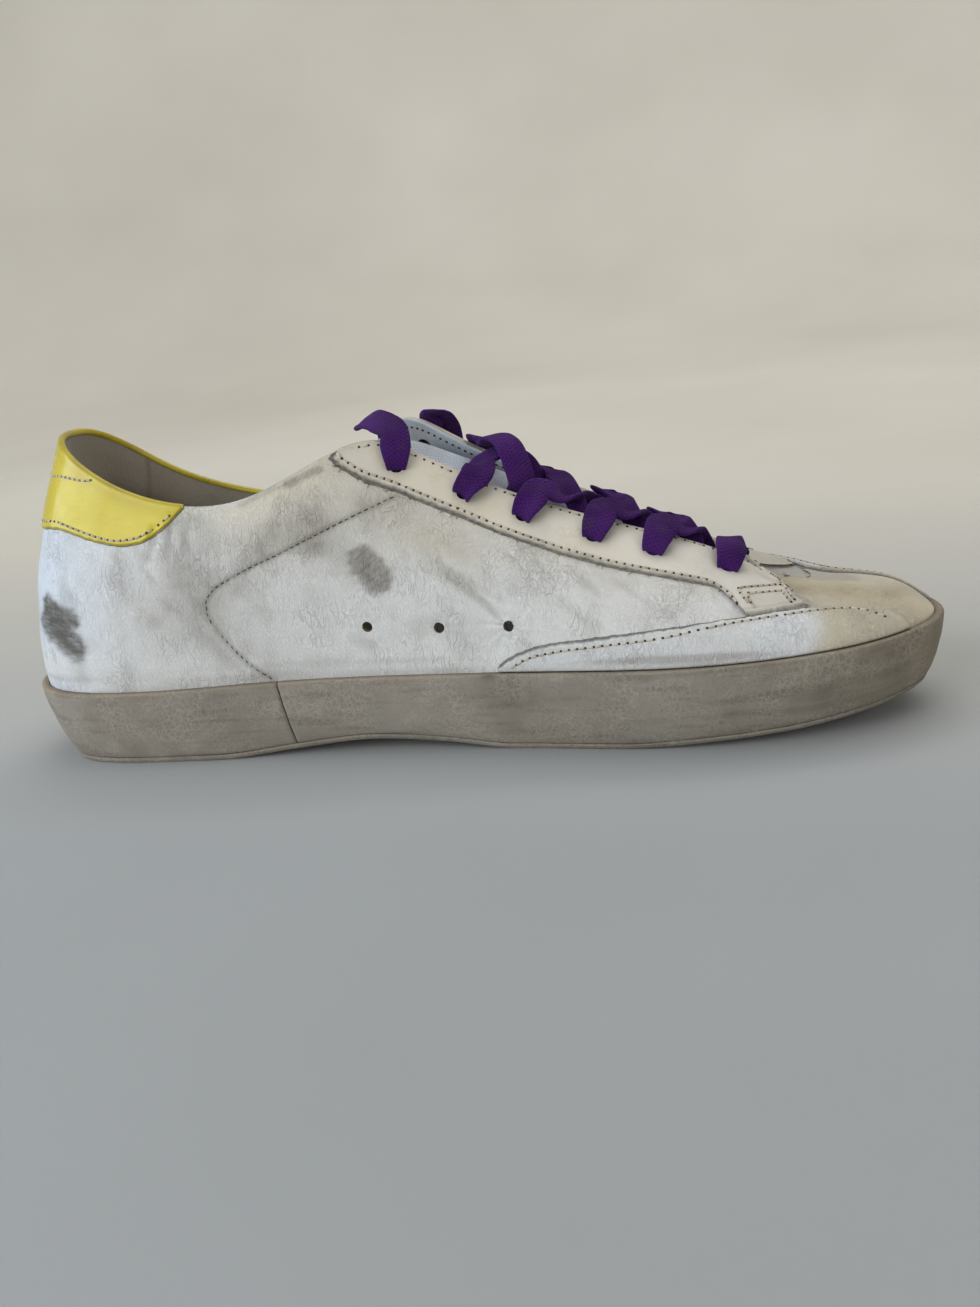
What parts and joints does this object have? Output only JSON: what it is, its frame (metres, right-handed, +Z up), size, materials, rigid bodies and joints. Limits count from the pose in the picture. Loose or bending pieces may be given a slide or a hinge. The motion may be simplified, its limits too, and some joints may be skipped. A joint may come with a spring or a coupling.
{
  "type": "low lace-up sneaker",
  "caption": "Worn low leather sneaker for the left foot, hollow and open at the collar, with a rubber cup sole, contrasting heel tab and flat laces.",
  "frame": {"origin": "on the ground under the middle of the shoe's bounding box", "axes": "+X from heel to toe, +Y to the outer side of the left foot, +Z up"},
  "size_m": [0.2882, 0.095, 0.1026],
  "materials": {
    "leather": "worn off-white, fine creases, scuffed",
    "leather_cream": "worn cream, satin",
    "leather_yellow": "glossy yellow",
    "rubber_side": "matt, crackled greige",
    "rubber_tread": "matt, dirty",
    "lining": "napped taupe lining",
    "tongue_textile": "pale blue-grey textile",
    "lace_cotton": "flat woven purple cotton"
  },
  "bodies": {
    "root": {"outsole": "rubber_tread", "foxing": "rubber_side", "insole": "lining", "upper": "leather", "tongue": "tongue_textile", "heel_tab": "leather_yellow", "facing_medial": "leather_cream", "facing_lateral": "leather_cream", "mudguard_medial": "leather", "mudguard_lateral": "leather", "lace_bar_toe": "lace_cotton", "lace_cross_2_3": "lace_cotton", "lace_cross_3_4": "lace_cotton", "lace_cross_4_5": "lace_cotton", "lace_cross_5_6": "lace_cotton", "lace_loop": "lace_cotton", "lace_end_medial": "lace_cotton", "lace_end_lateral": "lace_cotton"}
  },
  "joints": []
}
